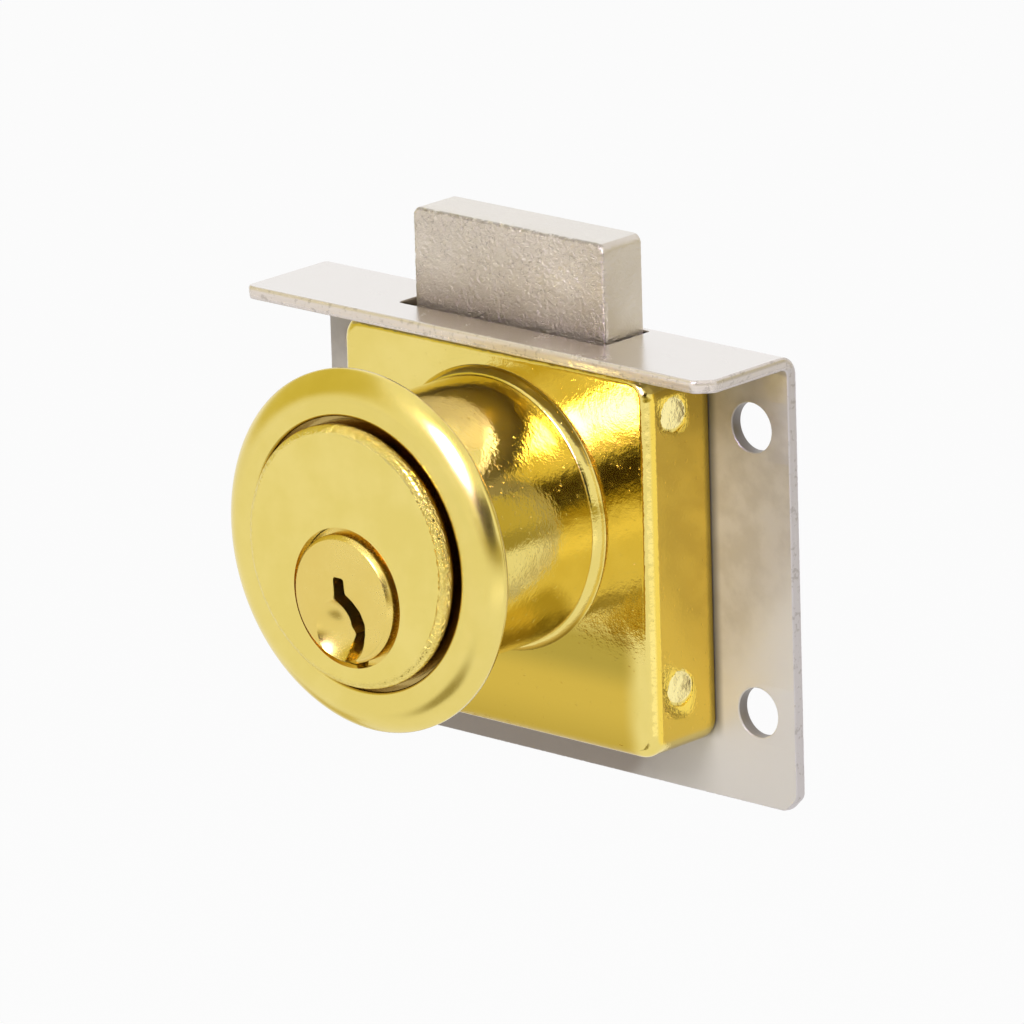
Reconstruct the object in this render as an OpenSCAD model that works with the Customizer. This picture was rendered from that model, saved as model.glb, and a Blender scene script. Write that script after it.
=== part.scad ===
// Half-mortise drawer deadbolt with a pin-tumbler cylinder, bolt thrown.
// X runs along the plate, +Y to the back of the drawer front, +Z the way the bolt is thrown.
// The origin is on the plug's axis, on the front face of the plate.

/* [Mounting plate] */
// Width of the plate and its flange
plate_w = 56; // [55:0.5:70]
// Thickness of the steel sheet
sheet_t = 1.2; // [1:0.1:1.6]
// Height of the flange's top face above the plug's axis
flange_top = 20.6; // [20.4:0.1:24]
// Depth of the plate below the plug's axis
plate_drop = 22.1; // [20.5:0.1:30]
// Reach of the flange in front of the plate
flange_reach = 11.1; // [10:0.1:14]
// Inside radius of the bend
bend_r = 0.7; // [0.4:0.1:1]
// Cut at the plate's lower corners and at the flange's right corner
corner_cut = 1.4; // [0.5:0.1:3]
// Cut at the flange's left corner
left_cut = 0.5; // [0.2:0.1:3]
// Radius of each screw hole
screw_r = 2.3; // [1.5:0.1:2.6]
// Distance of each screw hole's centre from the plate's side
screw_edge = 4.4; // [4:0.1:4.8]
// Distance between the screw holes up the plate
screw_span_z = 26.6; // [20:0.2:30]

/* [Case] */
// Width of the case
case_w = 37.2; // [36:0.1:38]
// Depth of the case in front of the plate
case_depth = 8.3; // [8:0.1:9.5]
// Gap between the case's top and the flange
case_gap = 0.5; // [0.3:0.1:1]
// Depth of the case below the plug's axis
case_drop = 17; // [15.5:0.1:18]
// Radius of the case's four corners
case_corner_r = 2.4; // [2:0.1:3.5]
// Rounding of the case's front edge
case_edge_r = 1.1; // [0.5:0.1:1.5]
// Thickness of the case's walls
wall = 1.8; // [1.5:0.1:2]
// Radius of the riveting pegs that hold the plate
peg_r = 1.4; // [1:0.1:1.6]
// Radius of the hollows in the case's sides
hollow_r = 1.7; // [1:0.1:2.2]
// Distance of the upper hollows from the case's top
hollow_from_top = 4.1; // [3:0.1:6]
// Distance of the lower hollows from the case's bottom
hollow_from_bottom = 6.3; // [3:0.1:8]
// Distance of the hollows behind the case's front
hollow_from_front = 3.6; // [3:0.1:4.5]

/* [Neck and ring] */
// Height of the neck's axis above the plug's axis
neck_rise = 3.7; // [3.4:0.1:4.2]
// Radius of the neck at its root
neck_r = 12.6; // [12.5:0.1:13.5]
// Amount by which the neck's radius tapers from its root to the ring
neck_taper = 0.15; // [0:0.05:0.2]
// Width of the cone at the neck's root
root_w = 0.6; // [0.2:0.1:1]
// Height of that cone
root_h = 1.1; // [0.6:0.1:2]
// Radius of the head inside the ring
head_r = 12.1; // [11.8:0.05:12.15]
// Distance from the plate to the head's face
face_reach = 28.2; // [28:0.1:33]
// Distance of the ring's seat behind the head's face
ring_back = 3.3; // [2.8:0.1:3.3]
// Rounding of the head's edge
head_edge_r = 0.65; // [0.3:0.05:1]
// Gap between the head and the ring's inner edge
ring_gap = 0.5; // [0.2:0.05:0.6]
// Outer radius of the ring
ring_r = 16.7; // [16.2:0.1:18]
// Height of the ring's straight rim
ring_rim = 0.5; // [0.3:0.1:1]
// Height of the ring's dome above its rim
ring_dome = 1.5; // [1:0.1:1.8]
// Width of the ring's rounded outer band
ring_band = 2.8; // [2.4:0.1:3]
// Rounding of the ring's inner edge
ring_lip_r = 0.35; // [0.2:0.05:0.5]

/* [Plug and pins] */
// Radius of the plug
plug_r = 5.9; // [5.7:0.05:6]
// Radius of the collar that stops the plug from behind
collar_r = 6.4; // [6.3:0.05:6.6]
// Thickness of that collar
collar_t = 0.8; // [0.6:0.05:1]
// Depth of the collar's seat behind the head's face
collar_seat = 1.9; // [1.7:0.1:2.1]
// Height of the plug's front above the head's face
plug_proud = 0.75; // [0.4:0.05:1.2]
// Bevel round the plug's front
plug_bevel = 0.4; // [0.2:0.05:0.6]
// Radius of the pins
pin_r = 1.25; // [1:0.05:1.35]
// Number of pin stacks
pin_count = 5;
// Distance of the front pin stack behind the head's face
pin_back = 4.8; // [4.4:0.1:4.8]
// Length of each driver pin
driver_len = 4; // [3:0.1:4.5]
// Height of the pin chambers above the plug's axis
chamber_top = 14.6; // [14:0.1:15]
// Wire thickness of the pin springs
spring_wire = 0.3; // [0.2:0.02:0.4]
// Number of turns in each pin spring
spring_turns = 6; // [4:1:8]

/* [Bolt and crank] */
// Width of the bolt
bolt_w = 23.2; // [20:0.2:23.6]
// Offset of the bolt to the right of the plug's axis
bolt_x = 0.4; // [-0.4:0.1:0.4]
// Thickness of the bolt's head
bolt_t = 5.1; // [4.5:0.1:5.2]
// Gap between the bolt's head and the plate
bolt_back = 1.1; // [1:0.1:1.3]
// Travel of the bolt, which is how far it stands out of the flange
bolt_throw = 9; // [8:0.1:9.4]
// Rounding of the bolt's upright edges
bolt_edge_r = 0.6; // [0.3:0.1:1]
// Rounding of the bolt's two upper corners
bolt_corner_r = 0.8; // [0.5:0.1:2]
// Width of the bolt's slot in the flange
slot_w = 25; // [24.8:0.2:28]
// Gap between the bolt's front and the slot's front edge
slot_front_gap = 0.8; // [0.2:0.1:1.2]
// Thickness of the crank's disc
crank_t = 2; // [1.6:0.1:2.1]
// Radius of the crank's disc
crank_r = 6.7; // [6.5:0.1:7]
// Radius of the crank's pin
crank_pin_r = 1.5; // [1.2:0.1:1.7]
// Half the width of the plug's flatted tang
tang_flat = 2.3; // [1.9:0.1:2.6]
// Radius of the plug's tang
tang_r = 3.2; // [2.9:0.1:3.4]
// Height of that tang
tang_h = 0.9; // [0.7:0.05:1]
// Radius of the crank screw's shank
crank_screw_r = 1.2; // [0.9:0.1:1.3]
// Length of the crank screw
crank_screw_len = 3.7; // [3:0.1:4.2]

/* [Hidden] */
$fn = 96;
// Running clearance on a radius, where one piece turns in another
run_gap = 0.05;
// Clearance on each side of a sliding piece
slide_gap = 0.15;
// Clearance of a piece that is pressed or riveted in place
seat_gap = 0.02;
// Amount by which a cut runs past the surface it opens
past = 1;
// Lengths of the five key pins, from the rear to the front
key_pin_len = [5.2, 6, 4.7, 5.6, 5];
// Length of a key pin's pointed end, and the radius at its tip
key_tip = 0.9;
key_tip_r = 0.45;
// Rounding bevel on both ends of a driver pin
driver_bevel = 0.2;
// Lowest point of the pin chambers in the plug, measured from its axis
chamber_floor = -2;
// Depth of the chamber plugs under the neck's surface
chamber_plug_depth = 0.3;
// Metal between the end of the crank's screw and the rearmost pin chamber
screw_wall = 0.4;
// Centre and radius of the ball that the finger dimple is cut with
dimple_x = -0.2;
dimple_z = -3;
dimple_back = 4.6;
dimple_ball_r = 5.45;

case_top = flange_top - sheet_t - case_gap;
case_h = case_top + case_drop;
case_mid = (case_top - case_drop) / 2;
bend_out = bend_r + sheet_t;
floor_reach = case_depth - wall;
bolt_front = bolt_back + bolt_t;
bolt_top = flange_top + bolt_throw;
crank_front = floor_reach - 2 * run_gap;
crank_back = crank_front - crank_t;
crank_arm = bolt_throw / 2;
tang_back = crank_front - tang_h;
tail_front = crank_back - slide_gap;
tail_end_gap = 4;
head_start = crank_r + bolt_throw + 2 * slide_gap;
shoulder_top = flange_top - bend_out - 2 * slide_gap;
channel_w = bolt_w + 2 * slide_gap;
plug_front = face_reach + plug_proud;
ring_seat = face_reach - ring_back;
collar_back = face_reach - collar_seat + 2 * run_gap;
bore_r = plug_r + run_gap;
chamber_r = pin_r + run_gap;
pin_first = crank_back + crank_screw_len + screw_wall + chamber_r;
pin_pitch = (face_reach - pin_back - pin_first) / (pin_count - 1);
key_pin_top = sqrt(plug_r * plug_r - pin_r * pin_r) - run_gap;
driver_low = plug_r + run_gap / 2;
spring_low = driver_low + driver_len + run_gap;
peg_x = (channel_w / 2 + case_w / 2) / 2;
peg_high = case_top - wall - 2 * peg_r;
peg_low = case_drop - wall - 2 * peg_r;
peg_flare = 0.5;
hollow_reach = case_depth - hollow_from_front;
screw_x = plate_w / 2 - screw_edge;
crank_screw_flare = 0.9;
screw_slot_w = 0.6;
screw_slot_depth = 0.5;

// Draws a shape of the X Z plane, standing forward of the plate from one distance to another
module forward(from, to) {
    translate([0, -from, 0])
        rotate([90, 0, 0])
            linear_extrude(to - from)
                children();
}

// A round bar or hole that runs forward, on an axis at x, z
module forward_rod(r, from, to, x = 0, z = 0) {
    translate([x, -from, z])
        rotate([90, 0, 0])
            cylinder(r = r, h = to - from);
}

// Turns a profile of radius and forward distance about an axis at height z
module forward_turned(z = 0) {
    translate([0, 0, z])
        rotate([90, 0, 0])
            rotate_extrude()
                children();
}

// Distance of one pin stack in front of the plate, counted from 0 at the rear
function stack_reach(i) = pin_first + i * pin_pitch;

// L section of the sheet, drawn in the Y Z plane
module plate_section() {
    difference() {
        union() {
            translate([0, -plate_drop])
                square([sheet_t, plate_drop + flange_top - bend_out]);
            translate([-flange_reach, flange_top - sheet_t])
                square([flange_reach - bend_r, sheet_t]);
            translate([-bend_r, flange_top - bend_out])
                intersection() {
                    circle(bend_out);
                    square(bend_out);
                }
        }
        translate([-bend_r, flange_top - bend_out])
            circle(bend_r);
    }
}

// Square set on its corner, which cuts a corner of the sheet off
module corner_cutter(cut) {
    rotate(45)
        square(cut * sqrt(2), center = true);
}

module mounting_plate() {
    color("silver")
    difference() {
        rotate([90, 0, 90])
            linear_extrude(plate_w, center = true)
                plate_section();
        // screw holes
        for (x = [-1, 1], z = [-1, 1])
            forward_rod(screw_r, -sheet_t - past, past, x * screw_x, z * screw_span_z / 2);
        // slot for the bolt
        translate([-slot_w / 2, -bolt_front - slot_front_gap, flange_top - sheet_t - past])
            cube([slot_w, slot_front_gap + bolt_t + slide_gap, sheet_t + 2 * past]);
        // lower corners
        for (x = [-1, 1])
            translate([x * plate_w / 2, 0, -plate_drop])
                forward_cut() corner_cutter(corner_cut);
        // front corners of the flange
        translate([plate_w / 2, -flange_reach, flange_top - sheet_t - past])
            linear_extrude(sheet_t + 2 * past)
                corner_cutter(corner_cut);
        translate([-plate_w / 2, -flange_reach, flange_top - sheet_t - past])
            linear_extrude(sheet_t + 2 * past)
                corner_cutter(left_cut);
        // countersunk holes for the riveting pegs
        each_peg()
            peg(seat_gap, past);
    }
}

// Runs a shape of the X Z plane through the sheet
module forward_cut() {
    rotate([90, 0, 0])
        linear_extrude(2 * (sheet_t + past), center = true)
            children();
}

// Places its children at the four riveting pegs
module each_peg() {
    for (x = [-1, 1], z = [peg_high, -peg_low])
        translate([x * peg_x, 0, z])
            children();
}

// Peg through the sheet, spread into a flush head at the back
module peg(gap, extra) {
    rotate([-90, 0, 0]) {
        translate([0, 0, -extra])
            cylinder(r = peg_r + gap, h = sheet_t + extra);
        translate([0, 0, sheet_t - peg_flare])
            cylinder(r1 = peg_r + gap, r2 = peg_r + gap + peg_flare, h = peg_flare + seat_gap * sign(gap));
    }
}

// Section of the case's rim: its outer front edge is rounded
module rim_section() {
    square([case_corner_r - case_edge_r, case_depth]);
    square([case_corner_r, case_depth - case_edge_r]);
    translate([case_corner_r - case_edge_r, case_depth - case_edge_r])
        circle(case_edge_r);
}

// Straight stretch of the rim, along one side of the case
module rim_bar(length) {
    rotate([90, 0, 90])
        linear_extrude(length, center = true)
            rim_section();
}

// Outside of the case, with round corners and a rounded front edge
module case_block() {
    inner_w = case_w - 2 * case_corner_r;
    inner_h = case_h - 2 * case_corner_r;
    translate([0, 0, case_mid])
        rotate([90, 0, 0]) {
            translate([-inner_w / 2, -inner_h / 2, 0])
                cube([inner_w, inner_h, case_depth]);
            for (turn = [0, 180])
                rotate(turn)
                    translate([0, inner_h / 2, 0])
                        rim_bar(inner_w);
            for (turn = [90, 270])
                rotate(turn)
                    translate([0, inner_w / 2, 0])
                        rim_bar(inner_h);
            for (x = [-1, 1], y = [-1, 1])
                translate([x * inner_w / 2, y * inner_h / 2, 0])
                    rotate_extrude()
                        rim_section();
        }
}

// Outline of the neck, with the cone at its root and the rounded head, as radius and forward distance
module neck_profile() {
    polygon([
        [0, floor_reach],
        [neck_r + root_w, floor_reach],
        [neck_r + root_w, case_depth],
        [neck_r, case_depth + root_h],
        [neck_r - neck_taper, ring_seat],
        [head_r, ring_seat],
        [head_r, face_reach - head_edge_r],
        [head_r - head_edge_r, face_reach],
        [0, face_reach]
    ]);
    translate([head_r - head_edge_r, face_reach - head_edge_r])
        circle(head_edge_r);
}

// Hollow inside one side of the case, beside the bolt's channel
module side_pocket() {
    pocket_x = channel_w / 2 + wall;
    pocket_w = case_w / 2 - wall - pocket_x;
    low = -peg_low + peg_r + wall;
    forward(-past, floor_reach)
        translate([pocket_x, low])
            square([pocket_w, peg_high - peg_r - wall - low]);
}

module lock_body() {
    color("gold")
    difference() {
        union() {
            case_block();
            forward_turned(neck_rise)
                neck_profile();
            each_peg()
                peg(0, seat_gap);
        }
        // bore for the plug, and the wider mouth that its collar seats in
        forward_rod(bore_r, -past, face_reach + past);
        forward_rod(collar_r + run_gap, face_reach - collar_seat, face_reach + past);
        // pin chambers, drilled from below through the bore
        for (i = [0 : pin_count - 1])
            translate([0, -stack_reach(i), neck_rise - neck_r - past])
                cylinder(r = chamber_r, h = chamber_top - neck_rise + neck_r + past);
        // channel for the bolt, open at the back and at the top
        forward(-past, bolt_front + slide_gap)
            translate([bolt_x - channel_w / 2, -case_drop + wall])
                square([channel_w, case_h]);
        // room for the crank in front of the bolt's tail
        forward_rod(crank_r + 2 * slide_gap, bolt_front - past, floor_reach);
        // hollows beside the channel
        side_pocket();
        mirror([1, 0, 0])
            side_pocket();
        // hollows in both sides
        for (x = [-1, 1], z = [case_top - hollow_from_top, hollow_from_bottom - case_drop])
            translate([x * (case_w / 2 + hollow_r), -hollow_reach, z])
                sphere(hollow_r * sqrt(2));
    }
}

module trim_ring() {
    // a circle through the rim's edge that meets the flat land without a step
    band_r = (ring_band * ring_band + ring_dome * ring_dome) / (2 * ring_dome);
    land_r = ring_r - ring_band;
    bore = head_r + seat_gap;
    mouth = head_r + ring_gap;
    crown = ring_seat + ring_rim + ring_dome;
    color("gold")
    forward_turned(neck_rise) {
        translate([bore, ring_seat])
            square([ring_r - bore, ring_rim]);
        translate([mouth, ring_seat])
            square([land_r - mouth, ring_rim + ring_dome - ring_lip_r]);
        translate([mouth + ring_lip_r, ring_seat])
            square([land_r - mouth - ring_lip_r, ring_rim + ring_dome]);
        translate([mouth + ring_lip_r, crown - ring_lip_r])
            circle(ring_lip_r);
        intersection() {
            translate([land_r, crown - band_r])
                circle(band_r);
            translate([land_r, ring_seat + ring_rim])
                square([ring_band, ring_dome]);
        }
    }
}

module chamber_plugs() {
    low = neck_rise - neck_r + chamber_plug_depth;
    color("goldenrod")
    for (i = [0 : pin_count - 1])
        translate([0, -stack_reach(i), low])
            cylinder(r = chamber_r - seat_gap, h = -bore_r - run_gap - low);
}

// S-shaped keyway, open at the bottom of the plug
module keyway() {
    low = -plug_r - past;
    polygon([
        [-1, 1.95],
        [0.27, 1.95],
        [0.4, 0.6],
        [1.3, 0.05],
        [2.2, -0.75],
        [2.75, -1.8],
        [2.75, -2.9],
        [2.2, -4.1],
        [1.6, -5],
        [1.3, low],
        [-0.05, low],
        [0.15, -4.5],
        [0.7, -3.3],
        [0.1, -2.7],
        [0, -1.9],
        [-0.35, -1],
        [-0.9, 0.1]
    ]);
}

module plug() {
    keyway_back = floor_reach + wall;
    color("goldenrod")
    difference() {
        union() {
            forward_turned()
                polygon([
                    [0, crank_front],
                    [plug_r, crank_front],
                    [plug_r, collar_back],
                    [collar_r, collar_back],
                    [collar_r, collar_back + collar_t],
                    [plug_r, collar_back + collar_t],
                    [plug_r, plug_front - plug_bevel],
                    [plug_r - plug_bevel, plug_front],
                    [0, plug_front]
                ]);
            // flatted tang that turns the crank
            forward(tang_back, crank_front)
                tang_shape(0);
        }
        forward(keyway_back, plug_front + past)
            keyway();
        // finger dimple round the lower half of the keyway
        translate([dimple_x, -plug_front - dimple_back, dimple_z])
            sphere(dimple_ball_r);
        // chambers for the key pins
        for (i = [0 : pin_count - 1])
            translate([0, -stack_reach(i), chamber_floor])
                cylinder(r = chamber_r, h = plug_r + past - chamber_floor);
        // hole for the crank's screw
        forward_rod(crank_screw_r + seat_gap, 0, crank_back + crank_screw_len + 2 * run_gap);
    }
}

// Round bar with two flats
module tang_shape(gap) {
    intersection() {
        circle(tang_r + gap);
        square([2 * (tang_flat + gap), 2 * (tang_r + gap)], center = true);
    }
}

module crank() {
    color("silver")
    difference() {
        union() {
            forward_rod(crank_r, crank_back, crank_front);
            forward_rod(crank_pin_r, sheet_t, crank_front, 0, crank_arm);
        }
        // recess with two flats, over the plug's tang
        forward(tang_back - seat_gap, crank_front + past)
            tang_shape(run_gap);
        // countersunk hole for the screw
        crank_screw_shape(seat_gap, past);
    }
}

// Countersunk screw from the back of the crank into the plug
module crank_screw_shape(gap, extra) {
    forward_rod(crank_screw_r + gap, crank_back - extra, crank_back + crank_screw_len);
    translate([0, -crank_back, 0])
        rotate([90, 0, 0])
            cylinder(r1 = crank_screw_r + gap + crank_screw_flare, r2 = crank_screw_r + gap, h = crank_screw_flare);
}

module crank_screw() {
    color("dimgray")
    difference() {
        crank_screw_shape(0, 0);
        // slot for a screwdriver
        translate([-crank_r, -crank_back - screw_slot_depth, -screw_slot_w / 2])
            cube([2 * crank_r, screw_slot_depth + past, screw_slot_w]);
    }
}

// Where the crank's pin lies in the bolt after a turn, for a bolt that moves in step with the turn
function pin_path(turn) = [crank_arm * sin(turn), crank_arm * (cos(turn) - 1) + bolt_throw * turn / 180];

// Angle of the outward normal to that path
function path_normal(turn) = atan2(2 / PI - sin(turn), cos(turn)) + 90;

// Leaf-shaped slot: the crank's pin with its clearance, swept along its path in the bolt
module crank_slot() {
    r = crank_pin_r + slide_gap;
    turns = [for (t = [0 : 10 : 180]) t];
    sweep = [for (t = turns) pin_path(t) + r * [cos(path_normal(t)), sin(path_normal(t))]];
    start = path_normal(0);
    cap = [for (k = [1 : 7]) let (a = 360 - start + k * (2 * start - 360) / 8) r * [cos(a), sin(a)]];
    polygon(concat(sweep, cap));
}

module bolt() {
    tail_low = crank_arm - crank_pin_r - tail_end_gap;
    color("darkgray")
    difference() {
        translate([bolt_x, 0, 0]) {
            // head, rounded at its upright edges and its two upper corners
            intersection() {
                translate([0, -bolt_back - bolt_t / 2, head_start])
                    linear_extrude(bolt_top - head_start)
                        rounded_square(bolt_w, bolt_t, bolt_edge_r);
                forward(0, case_depth)
                    translate([0, bolt_top / 2])
                        rounded_square(bolt_w, bolt_top, bolt_corner_r);
            }
            // tail, which slides on the plate
            forward(slide_gap, tail_front)
                translate([-bolt_w / 2, tail_low])
                    square([bolt_w, shoulder_top - tail_low]);
        }
        forward(0, case_depth)
            translate([0, crank_arm])
                crank_slot();
    }
}

// Rectangle with round corners, centred on the origin
module rounded_square(w, h, r) {
    square([w - 2 * r, h], center = true);
    square([w, h - 2 * r], center = true);
    for (x = [-1, 1], y = [-1, 1])
        translate([x * (w / 2 - r), y * (h / 2 - r)])
            circle(r);
}

module key_pin(i) {
    color("goldenrod")
    translate([0, -stack_reach(i), key_pin_top - key_pin_len[i]]) {
        cylinder(r1 = key_tip_r, r2 = pin_r, h = key_tip);
        translate([0, 0, key_tip])
            cylinder(r = pin_r, h = key_pin_len[i] - key_tip);
    }
}

module driver_pin(i) {
    color("silver")
    translate([0, -stack_reach(i), driver_low]) {
        cylinder(r1 = pin_r - driver_bevel, r2 = pin_r, h = driver_bevel);
        translate([0, 0, driver_bevel])
            cylinder(r = pin_r, h = driver_len - 2 * driver_bevel);
        translate([0, 0, driver_len - driver_bevel])
            cylinder(r1 = pin_r, r2 = pin_r - driver_bevel, h = driver_bevel);
    }
}

// Coil spring swept along its helix, six sides to the wire
module pin_spring(i) {
    sides = 6;
    per_turn = 10;
    rings = spring_turns * per_turn;
    coil_r = pin_r - spring_wire / 2 - run_gap;
    rise = chamber_top - spring_low - spring_wire - 2 * run_gap;
    points = [for (k = [0 : rings], s = [0 : sides - 1])
        let (turn = 360 * k / per_turn, a = 360 * s / sides, out = coil_r + spring_wire / 2 * cos(a))
            [out * cos(turn), out * sin(turn), rise * k / rings + spring_wire / 2 * sin(a)]];
    walls = [for (k = [0 : rings - 1], s = [0 : sides - 1])
        let (a = k * sides + s, b = k * sides + (s + 1) % sides)
            each [[a, b, b + sides], [a, b + sides, a + sides]]];
    start_cap = [for (s = [1 : sides - 2]) [0, s + 1, s]];
    last = rings * sides;
    end_cap = [for (s = [1 : sides - 2]) [last, last + s, last + s + 1]];
    color("lightsteelblue")
    translate([0, -stack_reach(i), spring_low + spring_wire / 2 + run_gap])
        polyhedron(points, concat(walls, start_cap, end_cap));
}

mounting_plate();
lock_body();
trim_ring();
chamber_plugs();
plug();
crank();
crank_screw();
bolt();
for (i = [0 : pin_count - 1]) {
    key_pin(i);
    driver_pin(i);
    pin_spring(i);
}
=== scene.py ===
import math
import bmesh
import bpy
import numpy as np
from mathutils import Matrix, Vector
from mathutils.geometry import tessellate_polygon


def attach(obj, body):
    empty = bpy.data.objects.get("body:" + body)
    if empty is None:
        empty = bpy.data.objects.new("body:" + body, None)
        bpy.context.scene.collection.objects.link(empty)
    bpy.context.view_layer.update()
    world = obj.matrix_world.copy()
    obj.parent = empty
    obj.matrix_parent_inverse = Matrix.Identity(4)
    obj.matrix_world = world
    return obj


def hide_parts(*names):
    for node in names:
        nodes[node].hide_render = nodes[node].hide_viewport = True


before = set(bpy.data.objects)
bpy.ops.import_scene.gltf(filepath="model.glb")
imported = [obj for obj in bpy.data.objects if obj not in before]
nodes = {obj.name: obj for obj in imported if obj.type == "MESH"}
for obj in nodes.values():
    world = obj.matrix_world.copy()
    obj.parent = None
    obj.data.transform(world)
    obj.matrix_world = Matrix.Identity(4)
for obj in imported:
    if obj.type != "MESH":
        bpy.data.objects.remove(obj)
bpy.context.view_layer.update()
scene = bpy.context.scene
scene.view_settings.view_transform = "Standard"
mm = 0.001
print("frame loaded:", len(nodes), "nodes")

# What several pieces share, in millimetres like all sizes and places below. The plug turns about the
# Y axis. Forward is towards -Y, and starts at 0 on the front of the plate's upright part
lockSet = {
    "neckHeight": 3.7,  # the neck's axis is this far above the plug's
    "seat": 24.9,  # the trim ring sits this far forward
    "chambers": [-9.8 - 3.4 * number for number in range(5)], "chamber": 1.3,
    "pegX": (-15.175, 15.175), "pegZ": (14.3, -12.4), "peg": 1.4,
}


# Shader tools

# A socket with arithmetic: each operation adds a Math node
class Value:
    def __init__(self, shader, socket):
        self.shader = shader
        self.socket = socket

    def __add__(self, other):
        return self.shader.math("ADD", self, other)

    def __sub__(self, other):
        return self.shader.math("SUBTRACT", self, other)

    def __rsub__(self, other):
        return self.shader.math("SUBTRACT", other, self)

    def __mul__(self, other):
        return self.shader.math("MULTIPLY", self, other)

    __radd__, __rmul__ = __add__, __mul__


# The nodes of one material, or of the world
class Shader:
    def __init__(self, owner):
        owner.use_nodes = True
        self.owner = owner
        self.tree = owner.node_tree
        self.coordinates = None

    # adds a node with its settings and inputs, and gives one of its outputs
    def node(self, kind, settings, inputs, output=0):
        made = self.tree.nodes.new(kind)
        for key, setting in settings.items():
            setattr(made, key, setting)
        for key, value in inputs.items():
            self.fill(made.inputs[key], value)
        return Value(self, made.outputs[output])

    # links a value to the socket, or sets the socket to a number or a colour
    def fill(self, socket, value):
        if isinstance(value, Value):
            self.tree.links.new(value.socket, socket)
        else:
            socket.default_value = value

    def math(self, operation, first, second):
        return self.node("ShaderNodeMath", {"operation": operation}, {0: first, 1: second})

    # the place on the object, in metres
    def spot(self):
        if self.coordinates is None:
            self.coordinates = self.node("ShaderNodeTexCoord", {}, {}, "Object")
        return self.coordinates

    # one axis of the position, in millimetres
    def axis(self, number):
        return self.node("ShaderNodeSeparateXYZ", {}, {0: self.spot()}, number) * 1000

    # distance from the neck's axis, in millimetres: the root of x squared plus z squared from there
    def radius(self):
        x, z = self.axis(0), self.axis(2) - lockSet["neckHeight"]
        return self.math("POWER", x * x + z * z, 0.5)

    # noise between 0 and 1, around 0.5
    def noise(self, perMetre, detail=3.0, rough=0.55):
        inputs = {"Vector": self.spot(), "Scale": perMetre, "Detail": detail, "Roughness": rough}
        return self.node("ShaderNodeTexNoise", {}, inputs)

    # value from low to high becomes start to end in a smooth step, and is held beyond
    def ramp(self, value, low, high, start=0.0, end=1.0):
        inputs = {"Value": value, "From Min": low, "From Max": high, "To Min": start, "To Max": end}
        return self.node("ShaderNodeMapRange", {"interpolation_type": "SMOOTHSTEP"}, inputs)

    # from full down to nothing as value goes from low to high
    def fade(self, value, low, high, full=1.0):
        return self.ramp(value, low, high, full, 0.0)

    # up over the first two limits and down over the last two
    def between(self, value, limits):
        return self.ramp(value, *limits[:2]) * self.fade(value, *limits[2:])

    # up from 0 to 1 as a distance, given as its square, goes from near to far
    def beyond(self, square, near, far):
        return self.ramp(square, near ** 2, far ** 2)

    # and down again, from full to 0
    def within(self, square, near, far, full=1.0):
        return self.fade(square, near ** 2, far ** 2, full)

    # the first colour where factor is 0, and the second where it is 1
    def mix(self, factor, first, second):
        return self.node("ShaderNodeMix", {"data_type": "RGBA"}, {0: factor, 6: first, 7: second}, 2)

    # a number or a colour that the mesh's points carry
    def attribute(self, name, output="Fac"):
        return self.node("ShaderNodeAttribute", {"attribute_name": name}, {}, output)

    # tilts the normal, or the one given, as if the surface stood out by height times distance
    def bump(self, height, distance, normal=None):
        inputs = {"Height": height, "Distance": distance * mm, "Strength": 1.0}
        if normal:
            inputs["Normal"] = normal
        return self.node("ShaderNodeBump", {}, inputs)

    # gives the surface a value in one of its inputs
    def put(self, name, value):
        self.fill(self.tree.nodes["Principled BSDF"].inputs[name], value)

    # paints over the surface where share is 1
    def tint(self, share, shade):
        self.shade = self.mix(share, self.shade, colour(*shade))
        self.put("Base Color", self.shade)

    # adds a bump over those made so far; a negative distance makes pits
    def emboss(self, height, distance):
        self.normal = self.bump(height, distance, self.normal)
        self.put("Normal", self.normal)


# A colour with full cover
def colour(red, green, blue):
    return (red, green, blue, 1.0)


# A new object in the scene
def place(name, data):
    made = bpy.data.objects.new(name, data)
    scene.collection.objects.link(made)
    return made


# A metal. Its colour follows broad noise, its roughness 0.6 of the broad and 0.4 of the fine noise,
# and its bumps are a ripple with the fine noise as grain on it
def metal(name, look):
    shader = Shader(bpy.data.materials.new(name))
    broad = shader.noise(look["broadScale"], detail=4.0)
    fine = shader.noise(look["grainScale"], detail=5.0, rough=0.65)
    tone = shader.ramp(broad, *look["toneRange"])
    shader.rough = shader.ramp(0.6 * broad + 0.4 * fine, *look["roughRange"], *look["rough"])
    ripples = shader.noise(look["rippleScale"], detail=1.5, rough=0.4)
    shader.normal = shader.bump(fine, look["grain"], shader.bump(ripples, look["ripple"]))
    shader.shade = shader.mix(tone, colour(*look["colour"][0]), colour(*look["colour"][1]))
    shader.put("Metallic", 1.0)
    shader.put("Base Color", shader.shade)
    shader.put("Roughness", shader.rough)
    shader.put("Normal", shader.normal)
    return shader


# Surface tools

# Three times the square less two times the cube, of x held between 0 and 1
def smoothStep(x):
    x = np.clip(x, 0, 1)
    return x * x * (3 - 2 * x)


# The smooth step of how far x is from low to high
def rising(x, low, high):
    return smoothStep((x - low) / (high - low))


# Sum of cosines in random directions: a smooth random field, mostly between -1 and 1
def ripple(points, wavelength, seed, waves=20):
    rng = np.random.default_rng(seed)
    way = rng.normal(size=(waves, points.shape[-1]))
    way /= np.linalg.norm(way, axis=1)[:, None]
    turns = 2 * np.pi * rng.uniform(0.7, 1.4, waves) / wavelength
    phase = rng.uniform(0, 2 * np.pi, waves)
    return np.cos(points @ (way * turns[:, None]).T + phase).sum(-1) / math.sqrt(waves)


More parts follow.
